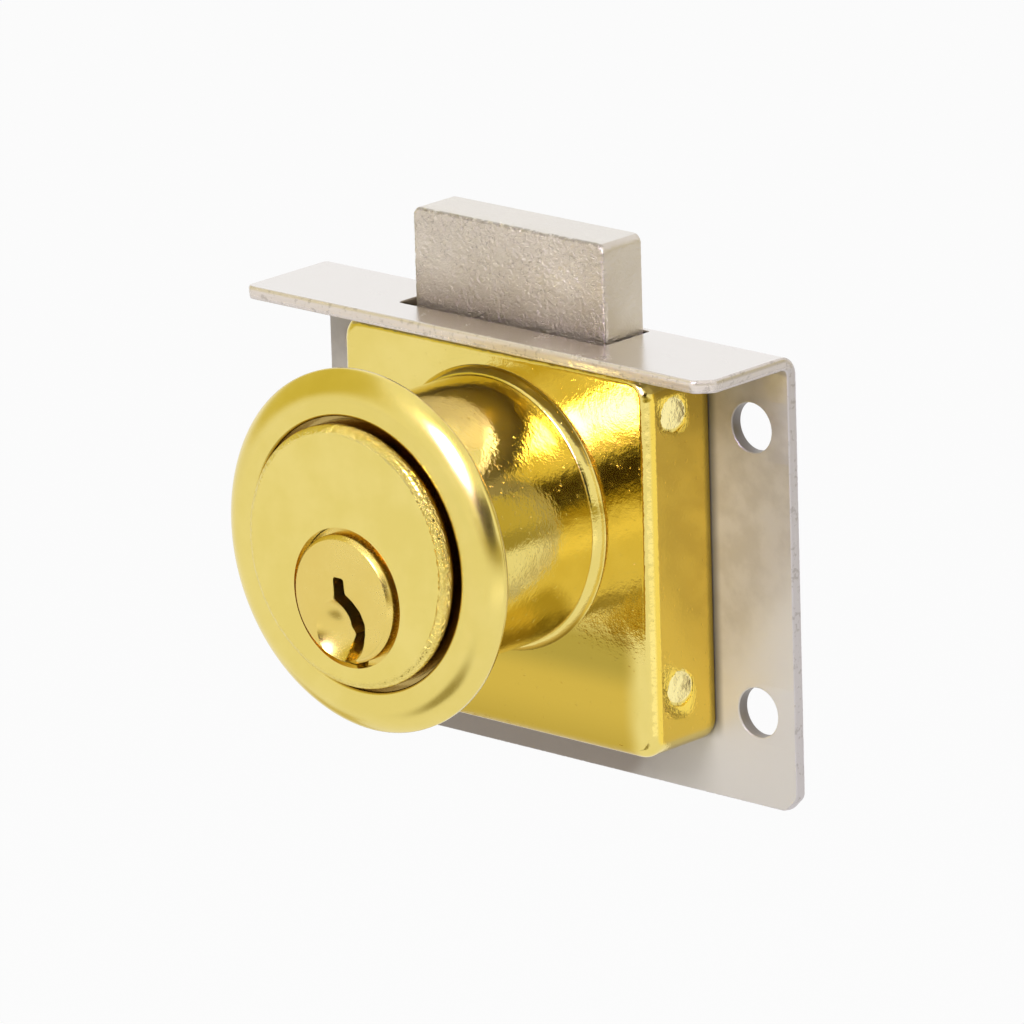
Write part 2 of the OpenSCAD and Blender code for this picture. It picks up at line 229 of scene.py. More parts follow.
# Depth of wear: the mean plus the swing times a ripple, held between nothing and the limit
def worn(points, w):
    return np.clip(w["mean"] + ripple(points, w["wavelength"], w["seed"]) * w["swing"], 0, w["limit"])


# Four-sided faces between rows of points that close on themselves: each point, its neighbour in the row,
# and the two after them in the next row. With around, the last row meets the first
def bands(rows, columns, first=0, around=False):
    i = np.arange(rows if around else rows - 1)[:, None]
    here, after = i * columns + first, (i + 1) % rows * columns + first
    j = np.arange(columns)[None, :]
    k = (j + 1) % columns
    return np.stack([here + j, here + k, after + k, after + j], -1).reshape(-1, 4).tolist()


# A mesh of closed rows, with each end closed by a fan to the row's middle
def solid(name, grid):
    rows, columns = grid.shape[:2]
    points = np.vstack([grid.reshape(-1, 3), grid[0].mean(0), grid[-1].mean(0)])
    j = np.arange(columns)
    k = (j + 1) % columns
    low, high, last = rows * columns, rows * columns + 1, (rows - 1) * columns
    fans = np.stack([low + 0 * j, k, j, high + 0 * j, last + j, last + k], -1).reshape(-1, 3)
    return makeMesh(name, points, bands(rows, columns) + fans.tolist())


# Points at angles on a circle of radius 1: cosine and sine
def unit(a):
    return np.stack([np.cos(a), np.sin(a)], -1)


# A whole circle of radius 1
def circleOf(count):
    return unit(np.linspace(0, 2 * np.pi, count, endpoint=False))


# A profile of radius and y turned about an axis along Y: x and z are the radius times cosine and sine
def turned(profile, columns, x=0.0, z=0.0):
    cosine, sine = circleOf(columns).T
    r, y = np.array(profile, float).T[..., None]
    return np.stack([x + r * cosine, y + 0 * sine, z + r * sine], -1)


# Points on an arc from one angle to another, in degrees: the centre plus the radius times cosine and sine
def arc(centreX, centreY, radius, start, end, steps):
    a = np.radians(np.linspace(start, end, steps))
    return [(centreX + radius * math.cos(t), centreY + radius * math.sin(t)) for t in a]


# Equal steps along a closed outline, found by its length so far
def evenly(outline, count):
    closed = np.vstack([outline, outline[:1]])
    along = np.concatenate([[0], np.cumsum(np.linalg.norm(np.diff(closed, axis=0), axis=1))])
    s = np.linspace(0, along[-1], count, endpoint=False)
    return np.stack([np.interp(s, along, closed[:, 0]), np.interp(s, along, closed[:, 1])], -1)


# A rectangle with an arc at each corner. Radii: right top, left top, left bottom, right bottom
def roundedOutline(width, height, radii, steps=24):
    points = []
    for corner, (sx, sy) in enumerate([(1, 1), (-1, 1), (-1, -1), (1, -1)]):
        r = radii[corner]
        middle = sx * (width / 2 - r), sy * (height / 2 - r)
        points += arc(*middle, r, 90 * corner, 90 * corner + 90, steps)
    return np.array(points)


# Unit normals of a closed outline that runs counter-clockwise, pointing out: the step turned by a quarter
def outwards(outline):
    step = np.roll(outline, -1, 0) - np.roll(outline, 1, 0)
    normal = np.stack([step[:, 1], -step[:, 0]], -1)
    return normal / np.linalg.norm(normal, axis=1)[:, None]


# Points of an x and z outline, all at one y
def upright(outline, y):
    return np.stack([outline[:, 0], y + 0 * outline[:, 0], outline[:, 1]], -1)


# A mesh with its faces turned outwards, and with the numbers that its points carry
def makeMesh(name, points, faces, attributes=None):
    mesh = bpy.data.meshes.new(name)
    mesh.from_pydata((np.asarray(points, float) * mm).tolist(), [], faces)
    for key, values in (attributes or {}).items():
        marks = mesh.attributes.new(key, "FLOAT", "POINT")
        marks.data.foreach_set("value", np.asarray(values, np.float32))
    work = bmesh.new()
    work.from_mesh(mesh)
    bmesh.ops.recalc_face_normals(work, faces=work.faces)
    work.to_mesh(mesh)
    work.free()
    return place(name, mesh)


# Cuts, joins or keeps what is common, and removes the tool
def combine(target, tool, operation="DIFFERENCE"):
    step = target.modifiers.new("cut", "BOOLEAN")
    step.operation = operation
    step.solver = "MANIFOLD"
    step.object = tool
    bpy.context.view_layer.update()
    done = bpy.data.meshes.new_from_object(target.evaluated_get(bpy.context.evaluated_depsgraph_get()))
    target.modifiers.clear()
    target.data = done
    bpy.data.objects.remove(tool)


# Gives a piece its metal and its place in the frame. Edges sharper than the angle stay sharp
def finishPiece(made, body, shader, replaced, angle):
    made.data.materials.clear()
    made.data.materials.append(shader.owner)
    made.data.polygons.foreach_set("use_smooth", [True] * len(made.data.polygons))
    made.data.set_sharp_from_angle(angle=math.radians(angle))
    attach(made, body)
    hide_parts(*replaced)
    print("piece", made.name, len(made.data.polygons), "faces")


# A round tool along Y, from near to far
def rod(radius, near, far, columns=96):
    return solid("tool", turned([(radius, near), (radius, far)], columns))


# A round tool along Z, at a place on the Y axis
def uprightRod(radius, low, high, y, columns=48):
    ring = radius * circleOf(columns) + (0, y)
    return solid("tool", np.stack([np.column_stack([ring, z + 0 * ring[:, 0]]) for z in (low, high)]))


# A box between two corners
def block(low, high):
    (x0, y0, z0), (x1, y1, z1) = low, high
    corners = np.array([(x0, z0), (x1, z0), (x1, z1), (x0, z1)], float)
    return solid("tool", np.stack([upright(corners, y0), upright(corners, y1)]))


# Metals: the ranges are of noise, and ripple and grain are depths

brassLook = {
    "colour": [(0.80, 0.64, 0.175), (0.845, 0.685, 0.21)], "toneRange": (0.35, 0.65),
    "rough": (0.06, 0.13), "roughRange": (0.3, 0.7),
    "broadScale": 160, "grainScale": 5200, "rippleScale": 480, "ripple": 0.035, "grain": 0.004,
}
steelLook = {
    "colour": [(0.70, 0.645, 0.58), (0.78, 0.73, 0.675)], "toneRange": (0.35, 0.65),
    "rough": (0.34, 0.46), "roughRange": (0.3, 0.7),
    "broadScale": 120, "grainScale": 4200, "rippleScale": 260, "ripple": 0.012, "grain": 0.003,
}
casting = metal("brassCasting", brassLook)
ringBrass = metal("brassRing", {**brassLook, "ripple": 0.007, "grain": 0.002, "rough": (0.16, 0.26)})
plugBrass = metal("brassPlug", {
    **brassLook, "colour": [(0.79, 0.59, 0.155), (0.82, 0.63, 0.18)], "ripple": 0.004, "rough": (0.2, 0.3)})
nickel = metal("nickelPlate", {
    **steelLook, "colour": [(0.53, 0.48, 0.435), (0.62, 0.57, 0.52)], "broadScale": 330, "grain": 0.0015,
    "rough": (0.3, 0.4)})
boltSteel = metal("nickelBolt", {**steelLook, "colour": [(0.63, 0.565, 0.49), (0.71, 0.65, 0.58)]})
pinBrass = metal("brassPins", {**brassLook, "ripple": 0.003, "rough": (0.24, 0.36)})
pinSteel = metal("steelPins", {**steelLook, "ripple": 0.003, "rough": (0.24, 0.36)})
crankSteel = metal("steelCrank", {**steelLook, "colour": [(0.58, 0.57, 0.55), (0.66, 0.65, 0.63)]})
wireSteel = metal("springWire", {**steelLook, "ripple": 0.002, "rough": (0.2, 0.3)})
# painted shade: the brown that darkens the gap between head and ring
gapShade = (0.46, 0.33, 0.11)  # brown, in the gap between head and ring
print("metals made")


# Casting: case, neck and head

caseSet = {
    "width": 37.2, "top": 18.9, "bottom": -17.0, "depth": 8.3, "corner": 2.4, "edge": 1.1,
    "neck": 12.6, "taper": 0.15, "root": 0.6, "rootEnd": 9.4, "head": 12.1, "face": 28.2, "headEdge": 0.65,
    # rows of points: radii on the head's face, then distances forward on the head's side and on the case's
    "columns": 840, "faceRows": (0.3, 4, 8, 10.5, 11.2, 11.38), "headRows": (27.3, 26.6, 25.8),
    "neckRows": 12, "frontRows": 24, "edgeRows": 12, "sideRows": (6.9, 6, 5, 4, 3, 2, 1, 0.35),
    # the root's cone: share of the way down, and how far it bulges there
    "rootBulge": [(0.05, 0.05), (0.2, 0.09), (0.4, 0.11), (0.6, 0.11), (0.8, 0.09), (0.95, 0.03)],
    "foot": 0.06,  # gap between the root and the first row on the front
    "backEdge": [(0.1, 0.1), (0.3, 0)], "backRows": (0.3, 0.6, 0.9),
    # how deep each place is worn, and where that starts, is full or ends
    "headWear": {"mean": 0.03, "swing": 0.02, "limit": 0.1, "wavelength": 1.4, "seed": 3,
                 "radius": (11.45, 11.65), "outer": 12.2, "forward": 27.4},
    "frontWear": {"mean": 0.03, "swing": 0.02, "limit": 0.1, "wavelength": 9, "seed": 8,
                  "radius": (13.4, 14.9)},
    "edgeWear": {"mean": 0.02, "swing": 0.02, "limit": 0.08, "wavelength": 0.9, "seed": 5,
                 "forward": (7.75, 8.05), "short": 0.02, "radius": 13.6},
    # the casting gates' marks in both sides, with ripples of their edge and face: size,
    # wavelength and seed
    "gates": {
        "heights": (14.8, -10.7), "radius": 1.7, "forward": 4.7, "depth": 0.35, "tilt": 12, "columns": 160,
        "rows": (0.04, 0.15, 0.3, 0.45, 0.6, 0.75, 0.88), "lip": 0.03, "top": 1.5, "seed": 50,
        "edge": [(0.035, 0.5, 0), (0.015, 0.16, 1)], "face": (0.004, 1.2, 2),
    },
    # where each mark starts, is full or ends, by the point's place. Depth and rise are of bumps
    "marks": {
        # painted shade in the gap between head and ring
        "gap": {"radius": (11.99, 12.07), "forward": (24.7, 25.0, 27.1, 27.7)},
        # painted reflection: the sides' deeper gold
        "sides": {"across": (18.33, 18.547), "tint": (0.95, 0.69, 0.11)},
        "front": {"forward": (8.4, 9.0), "right": (14.5, 17)},
        # the front's lower part, a band under the neck, and the front's foot, darkened as painted reflection
        # and shade: heights and tint
        "lower": [((-19, -18, -10, -4), (0.66, 0.46, 0.065)), ((-11.5, -8.5, -7, -4), (0.47, 0.345, 0.05)),
                  ((-19, -18, -17.5, -12.5), (0.53, 0.37, 0.05))],
        # painted reflection: the gate marks' pale tint
        "gates": {"radius": (1.3784, 1.5166), "across": (17.3205, 17.6068), "tint": (1.0, 0.87, 0.40)},
        # pits in the head's edge, most of them towards its upper right
        "pits": {"scale": 2700, "range": (0.40, 0.60), "rise": 0.2, "radius": (11.15, 11.45),
                 "forward": (27.3, 27.6), "towards": (0.87, 0.5), "side": (3, 10.5), "least": 0.15},
        "outside": (12.2, 12.4),  # radii past the head, on the neck and the case
        "specks": {"scale": 1700, "range": (0.68, 0.72), "depth": 0.012},
        "uneven": {"scale": 2600, "rise": 0.015},
    },
    # what is cut out, and the pegs that rivet the casting to the plate. A rod has its radius and the
    # y of its ends, a block has two corners, and the peg is a half section of radius and y
    "rooms": {
        "collar": (6.45, -26.3, -30), "bore": (5.95, 1, -27), "crank": (7.0, -5, -6.5),
        "pocket": [(-11.35, 1, -15.2), (12.15, -6.35, 20.2)], "chamberZ": (-10, 14.6),
        "peg": [(lockSet["peg"], -0.5), (lockSet["peg"], 0.7), (1.9, 1.15), (1.8, 1.2), (0.3, 1.2)],
        "pegColumns": 48,
    },
}


# Tints and bumps of the casting: each is a product of ramps over the point's place
def markCasting(shader, marks, gates):
    radius, forward = shader.radius(), shader.axis(1) * -1
    across, height = shader.axis(0), shader.axis(2)
    # painted shade: the gap between head and ring is darkened brown
    m = marks["gap"]
    shader.tint(shader.ramp(radius, *m["radius"]) * shader.between(forward, m["forward"]), gapShade)
    # painted reflection: the sides are tinted a deeper gold, and so is the front's lower part, with a brown
    # band under the neck as painted reflection and shade
    m = marks["sides"]
    shader.tint(shader.beyond(across * across, *m["across"]), m["tint"])
    m = marks["front"]
    onFront = shader.fade(forward, *m["forward"]) * shader.fade(across, *m["right"])
    for heights, tint in marks["lower"]:
        shader.tint(onFront * shader.between(height, heights), tint)
    # the gate marks are tinted pale, a painted reflection of the white surroundings
    m = marks["gates"]
    for middle in gates["heights"]:
        y, z = forward - gates["forward"], height - middle
        inMark = shader.within(y * y + z * z, *m["radius"]) * shader.beyond(across * across, *m["across"])
        shader.tint(inMark, m["tint"])
    m = marks["pits"]
    side = across * m["towards"][0] + (height - lockSet["neckHeight"]) * m["towards"][1]
    pitted = shader.ramp(radius, *m["radius"]) * shader.ramp(forward, *m["forward"])
    pitted = pitted * shader.ramp(side, *m["side"], m["least"], 1.0)
    shader.emboss(shader.ramp(shader.noise(m["scale"], rough=0.6), *m["range"]) * pitted, m["rise"])
    outside = shader.ramp(radius, *marks["outside"])
    m = marks["specks"]
    specks = shader.ramp(shader.noise(m["scale"], detail=2.0, rough=0.5), *m["range"])
    shader.emboss(specks * outside, -m["depth"])
    # a fine unevenness breaks up the reflections
    m = marks["uneven"]
    shader.emboss(shader.noise(m["scale"], detail=2.0, rough=0.5) * outside, m["rise"])


# Rows from the head's middle outwards and back: circles round the neck's axis, which pass into the
# case's rounded outline as a share of one plus the rest of the other
def castingGrid(s):
    outline = evenly(roundedOutline(s["width"], s["top"] - s["bottom"], [s["corner"]] * 4), s["columns"])
    normal = outwards(outline)
    outline = outline + (0, (s["top"] + s["bottom"]) / 2)
    centre = np.array([0, lockSet["neckHeight"]])
    ring = unit(np.arctan2(outline[:, 1] - centre[1], outline[:, 0]))
    rows = []

    def add(flat, forward):
        rows.append(upright(flat, -forward))

    def circle(radius, forward):
        add(centre + ring * radius, forward)

    edgeMiddle = s["head"] - s["headEdge"], s["face"] - s["headEdge"]
    for r in (*s["faceRows"], edgeMiddle[0]):
        circle(r, s["face"])
    for r, forward in arc(*edgeMiddle, s["headEdge"], 84, 0, 13):
        circle(r, forward)
    seat = lockSet["seat"]
    for forward in (*s["headRows"], seat):
        circle(s["head"], forward)
    for forward in np.linspace(seat, s["rootEnd"], s["neckRows"]):
        circle(s["neck"] - s["taper"] * (forward - s["rootEnd"]) / (seat - s["rootEnd"]), forward)
    rootWall = s["rootEnd"] - s["depth"]
    for u, bulge in s["rootBulge"]:
        circle(s["neck"] + s["root"] * u + bulge, s["rootEnd"] - rootWall * u + bulge * 0.5)
    startRow = s["neck"] + s["root"] + s["foot"]
    inner = outline - normal * s["edge"]
    for u in np.linspace(0, 1, s["frontRows"]):
        add((1 - u) * (centre + ring * startRow) + u * inner, s["depth"])
    for t in np.radians(np.linspace(82, 0, s["edgeRows"])):
        add(outline - normal * s["edge"] * (1 - math.cos(t)), s["depth"] - s["edge"] * (1 - math.sin(t)))
    for forward in s["sideRows"]:
        add(outline, forward)
    for inset, forward in s["backEdge"]:
        add(outline - normal * inset, forward)
    for u in s["backRows"]:
        add((1 - u) * outline + u * centre, 0)
    return np.array(rows), normal


# The grid with wear on the head's edge, on the case's front and on its rounded edge: each is a depth of
# wear times smooth steps over where it lies
def castingSurface(s):
    grid, normal = castingGrid(s)
    x, y, z = grid[..., 0], grid[..., 1], grid[..., 2]
    radius = np.hypot(x, z - lockSet["neckHeight"])
    head, front, edge = s["headWear"], s["frontWear"], s["edgeWear"]
    onHead = rising(radius, *head["radius"]) * (y < -head["forward"]) * (radius < head["outer"])
    grid[..., 1] += onHead * worn(grid, head)
    onFront = (np.abs(y + s["depth"]) < 0.01) * rising(radius, *front["radius"])
    grid[..., 1] += onFront * worn(grid, front)
    onEdge = rising(-y, *edge["forward"]) * rising(y + s["depth"], 0, edge["short"])
    onEdge = onEdge * (radius > edge["radius"])
    grid -= upright(normal, 0) * (onEdge * worn(grid, edge))[..., None]
    return grid


# The tool for the ragged mark of a gate in the side: a flat disc that leans forward. Its edge is the
# radius times 1 plus ripples, and its points are turned by the lean in x and y
def gateMark(g, face, side, height, seed):
    circle = circleOf(g["columns"])
    ragged = sum(size * ripple(circle, wavelength, seed + own) for size, wavelength, own in g["edge"])
    edge = g["radius"] * (1 + ragged)
    lean = math.radians(g["tilt"])
    size, wavelength, own = g["face"]
    layers = [*((share, 0) for share in g["rows"]), (1.0, g["lip"]), (1.0, g["top"])]
    rows = []
    for share, up in layers:
        flat = (edge * share)[:, None] * circle
        across, along = flat.T
        uneven = size * ripple(flat, wavelength, seed + own)
        lift = up + uneven * (up < g["top"])
        x = face - g["depth"] + lift * math.cos(lean) + across * math.sin(lean)
        y = -g["forward"] - lift * math.sin(lean) + across * math.cos(lean)
        rows.append(np.stack([side * x, y, height + along], -1))
    return solid("tool", np.array(rows))


# The worn surface less the rooms inside it and the gates' marks, plus the pegs
def makeCasting(s):
    gates, room = s["gates"], s["rooms"]
    body = solid("casting", castingSurface(s))
    tools = [
        rod(*room["collar"], columns=160),
        rod(*room["bore"], columns=128),
        block(*room["pocket"]),
        rod(*room["crank"]),
    ]
    tools += [uprightRod(lockSet["chamber"], *room["chamberZ"], y) for y in lockSet["chambers"]]
    for number, height in enumerate(gates["heights"]):
        tools += [gateMark(gates, s["width"] / 2, side, height, gates["seed"] + number) for side in (-1, 1)]
    for tool in tools:
        combine(body, tool)
    for x in lockSet["pegX"]:
        for z in lockSet["pegZ"]:
            combine(body, solid("peg", turned(room["peg"], room["pegColumns"], x, z)), "UNION")
    return body


markCasting(casting, caseSet["marks"], caseSet["gates"])
finishPiece(makeCasting(caseSet), "fixed", casting, ["lock_body"], 32)


# Trim ring

ringSet = {
    "bore": 12.12, "mouth": 12.6, "outer": 16.68, "rim": 0.5, "dome": 1.5, "band": 2.8, "lip": 0.35,
    "columns": 480, "gapRadius": (12.66, 12.84), "gapForward": (26.3, 26.75),
}


# Half section of the ring: a bore, a round lip, a flat crown, and a band that falls to the rim along an
# arc, whose radius is band squared plus dome squared over twice the dome
def ringProfile(s, seat):
    crown = seat + s["rim"] + s["dome"]
    bandRadius = (s["band"] ** 2 + s["dome"] ** 2) / (2 * s["dome"])
    land = s["outer"] - s["band"]
    reach = math.degrees(math.asin(s["band"] / bandRadius))
    points = [(s["bore"], seat), (s["bore"], seat + s["rim"]), (s["mouth"], seat + s["rim"])]
    points += [(s["mouth"], forward) for forward in np.linspace(seat + 0.7, crown - s["lip"], 3)]
    points += arc(s["mouth"] + s["lip"], crown - s["lip"], s["lip"], 170, 90, 9)
    points += [(r, crown) for r in np.linspace(s["mouth"] + s["lip"] + 0.1, land - 0.05, 5)]
    points += arc(land, crown - bandRadius, bandRadius, 90, 90 - reach, 16)
    points += [(s["outer"], seat + s["rim"] - 0.06), (s["outer"], seat + 0.12), (s["outer"] - 0.1, seat)]
    return [(r, -forward) for r, forward in points]


grid = turned(ringProfile(ringSet, lockSet["seat"]), ringSet["columns"], 0, lockSet["neckHeight"])
ring = makeMesh("trimRing", grid.reshape(-1, 3), bands(*grid.shape[:2], around=True))
# painted shade: the ring's inner edge by the gap is darkened brown
inGap = ringBrass.fade(ringBrass.radius(), *ringSet["gapRadius"])
ringBrass.tint(inGap * ringBrass.fade(ringBrass.axis(1) * -1, *ringSet["gapForward"]), gapShade)
finishPiece(ring, "fixed", ringBrass, ["trim_ring"], 40)


# Plug

plugSet = {
    "radius": 5.9, "back": 6.4, "front": 28.95, "bevel": 0.4, "collar": 6.4, "collarBack": 26.4,
    "collarFront": 27.2, "columns": 256,
    "keyway": [
        (-1, 1.95), (0.27, 1.95), (0.4, 0.6), (1.3, 0.05), (2.2, -0.75), (2.75, -1.8),
        (2.75, -2.9), (2.2, -4.1), (1.6, -5), (1.3, -6.9), (-0.05, -6.9), (0.15, -4.5),
        (0.7, -3.3), (0.1, -2.7), (0, -1.9), (-0.35, -1), (-0.9, 0.1)],
    "keywayBack": 8.3, "keywayPoints": 220, "softenings": 3, "flare": 0.07,
    "tang": (3.2, -5.5, -7.0), "tangFlats": [(-2.3, -5, -4), (2.3, -8, 4)],
    # a ball cuts the finger dimple. Place of its middle: across, forward of the plug's front, up
    "ball": 4.2, "ballAt": (-0.2, 3.02, -3), "ballSteps": (160, 96),
    "chamberZ": (-2, 7), "screwHole": (1.22, -4, -8.2),
}


# Corners of a closed outline cut off at a tenth of each side, a few times over
def softened(outline, times):
    points = np.array(outline, float)
    for _ in range(times):
        after = np.roll(points, -1, 0)
        points = np.stack([0.9 * points + 0.1 * after, 0.1 * points + 0.9 * after], 1).reshape(-1, 2)
    return points


# The keyway's outline carried along Y, a little wider at the front
def keywayTool(s):
    flat = evenly(softened(s["keyway"], s["softenings"])[::-1], s["keywayPoints"])
    away = outwards(flat)
    front, flare = s["front"], s["flare"]
    layers = [(s["keywayBack"], 0), (front - flare, 0), (front, flare), (front + 1, flare)]
    return solid("tool", np.array([upright(flat + away * grow, -forward) for forward, grow in layers]))


# Half section of the plug, with its collar and its bevelled nose
def plugProfile(s):
    edge = s["front"] - s["bevel"]
    return [(r, -forward) for r, forward in [
        (0.4, s["back"]), (s["radius"] - 0.1, s["back"]), (s["radius"], s["back"] + 0.1),
        (s["radius"], s["collarBack"]), (s["collar"], s["collarBack"]), (s["collar"], s["collarFront"]),
        (s["radius"], s["collarFront"]), (s["radius"], edge - 0.04), (s["radius"] - 0.02, edge + 0.02),
        (s["radius"] - s["bevel"] + 0.04, s["front"] - 0.02), (s["radius"] - s["bevel"] - 0.03, s["front"]),
        (4.0, s["front"]), (1.0, s["front"])]]


# The ball that cuts the dimple
def dimpleTool(s):
    ball = bmesh.new()
    around, upwards = s["ballSteps"]
    bmesh.ops.create_uvsphere(ball, u_segments=around, v_segments=upwards, radius=s["ball"] * mm)
    mesh = bpy.data.meshes.new("ball")
    ball.to_mesh(mesh)
    ball.free()
    x, forward, z = s["ballAt"]
    mesh.transform(Matrix.Translation(Vector((x, -s["front"] - forward, z)) * mm))
    return place("dimple", mesh)


# The turned plug plus its tang, a rod between two flats, less the keyway, the dimple, the pins'
# chambers and the screw's hole
def makePlug(s):
    plug = solid("plugPiece", turned(plugProfile(s), s["columns"]))
    tang = rod(*s["tang"])
    combine(tang, block(*s["tangFlats"]), "INTERSECT")
    combine(plug, tang, "UNION")
    combine(plug, keywayTool(s))
    combine(plug, dimpleTool(s))
    for y in lockSet["chambers"]:
        combine(plug, uprightRod(lockSet["chamber"], *s["chamberZ"], y))
    combine(plug, rod(*s["screwHole"], columns=48))
    return plug


finishPiece(makePlug(plugSet), "turning", plugBrass, ["plug"], 30)


# Mounting plate

plateSet = {
    "width": 56.0, "thick": 1.2, "top": 20.6, "bottom": -22.1, "reach": 11.1, "bend": 0.7,
    "cut": 1.4, "leftCut": 0.5, "holeX": 23.6, "holeZ": 13.3, "hole": 2.3,
    "slotWidth": 25, "slotDepth": 6.05, "slotCorner": 0.25, "slotForward": 3.975, "slotPoints": 240,
    "flangeSteps": 69, "bendSteps": 16, "downSteps": 239, "cutSteps": 11,
    "footPoints": 360, "frontPoints": 380, "holePoints": 72, "pegPoints": 48,
    # depth from the outer face, and how far the edge lies back there: sheared, drilled, riveted, punched
    "shear": [(0, 0.26), (0.03, 0.16), (0.09, 0.07), (0.18, 0.02), (0.3, 0), (0.62, 0), (0.72, 0.025),
              (0.86, 0.03), (1.0, 0.04), (1.12, 0.06), (1.18, 0.1), (1.2, 0.16)],
    "drilled": [(0, 0.14), (0.05, 0.05), (0.15, 0), (1.1, 0), (1.19, 0.03), (1.24, 0.12), (1.23, 0.3),
                (1.2, 0.5)],
    "riveted": [(0, 0.52), (0.05, 0.5), (0.5, 0), (1.2, 0)], "rivetGap": 0.02,
    "punched": [(0, 0.08), (0.06, 0.02), (0.2, 0), (1.14, 0), (1.2, 0.05)],
    "marked": (0.02, 1.19),  # between these depths a point counts as edge or bore
    # ripples of the edges: size, wavelength and seed. The shear's smooth depths have only a share of it
    "wear": [(0.012, 0.7, 21), (0.01, 0.3, 23)], "smooth": (0.2, 0.7), "smoothShare": 0.3,
    "slotWear": (0.03, 0.8, 31), "slotWornTo": 0.1,
    "rounds": 6,  # times that the corners are averaged
    # where each mark starts, is full or ends, and its tint
    "marks": {
        "front": (0.3, 0.8),  # y, over which the marks on the front end
        # the flange is tinted lighter than the upright part, painted light on its top, and the upright part
        # is paler towards its lower right corner, a painted pool of light
        "flange": {"height": (19.2, 19.9), "tint": (0.82, 0.785, 0.755), "rough": 0.7},
        # painted light: paler towards the lower right corner
        "pale": {"slope": 1.25, "reach": (30, 39), "tint": (0.76, 0.71, 0.65)},
        # painted shadow: darker below the case
        "shadowBelowCase": {"height": (-18.5, -16.5), "pale": (0, 0.3), "tint": (0.44, 0.38, 0.33)},
        # painted shade: a dark strip on the plate beside the case's back edge
        "creviceShade": {"across": (18.601, 19.621), "share": 0.8, "height": (-17.0, -14.6),
                 "tint": (0.12, 0.11, 0.11)},
        # sheared edges are dull and pitted, and holes are brown inside; on the flange the edges keep a
        # lighter tint, painted light as on the flange's top
        "edge": {"tint": (0.69, 0.64, 0.635), "flangeEdgeLight": (0.86, 0.77, 0.69), "metal": 0.5, "dulled": 1.2},
        "pits": {"scale": 1700, "range": (0.56, 0.66), "share": 0.4, "depth": 0.008,
                 "tint": (0.34, 0.29, 0.25)},
        "bore": {"share": 0.8, "tint": (0.22, 0.18, 0.15)},
        "metallic": (0.2, 1.0),
    },
}


# Tints and pits of the plate, by the point's place and by what it is marked as. Metallic is full on the
# flange, low on the upright part, and between on the edges
def markPlate(shader, marks):
    x, y, z = (shader.axis(number) for number in range(3))
    onFront = shader.fade(y, *marks["front"])
    # painted light: the upright part is paler towards its lower right corner
    m = marks["pale"]
    pale = shader.ramp(x * m["slope"] - z, *m["reach"]) * onFront
    shader.tint(pale, m["tint"])
    # painted shadow: the strip below the case is darker where it is not pale
    m = marks["shadowBelowCase"]
    shader.tint(shader.fade(z, *m["height"]) * shader.fade(pale, *m["pale"]), m["tint"])
    # painted shade in the crevice beside the case
    m = marks["creviceShade"]
    creviceShade = shader.within(x * x, *m["across"], m["share"]) * shader.ramp(z, *m["height"])
    shader.tint(creviceShade * onFront, m["tint"])
    # painted light: the flange's top is tinted lighter than the upright part, and it is glossier
    m = marks["flange"]
    flange = shader.ramp(z, *m["height"])
    shader.tint(flange, m["tint"])
    shader.put("Roughness", shader.rough * shader.ramp(flange, 0, 1, 1.0, m["rough"]))
    edge, bore = shader.attribute("edge"), shader.attribute("bore")
    m = marks["edge"]
    shader.tint(edge, m["tint"])
    # painted light: the flange's edges are lighter than the other edges
    shader.tint(edge * flange, m["flangeEdgeLight"])
    full = flange + edge * (m["metal"] - flange * m["dulled"])
    shader.put("Metallic", shader.ramp(full, 0, 1, *marks["metallic"]))
    m = marks["pits"]
    pits = shader.ramp(shader.noise(m["scale"], rough=0.6), *m["range"])
    shader.tint(edge * pits * m["share"], m["tint"])
    shader.emboss(edge * pits, -m["depth"])
    shader.tint(bore * marks["bore"]["share"], marks["bore"]["tint"])


# The bend's outer radius, the flange's flat length, and the length over the bend: a quarter of a turn
def sheetLengths(p):
    outer = p["bend"] + p["thick"]
    return outer, p["reach"] - p["bend"], np.pi / 2 * outer


# Turns a point of the flat sheet into place: s runs from the flange's front edge over the bend and down.
# On the bend, y and z are the radius times the sine and cosine of s over the outer radius
def bent(x, s, depth, p):
    outer, flat, curve = sheetLengths(p)
    turn = np.clip((s - flat) / outer, 0, np.pi / 2)
    r = outer - depth
    y = np.where(s < flat, -p["reach"] + s, -p["bend"] + r * np.sin(turn))
    below = p["top"] - outer
    z = np.where(s < flat + curve, below + r * np.cos(turn), below - (s - flat - curve))
    return np.stack([x, y, z], -1)


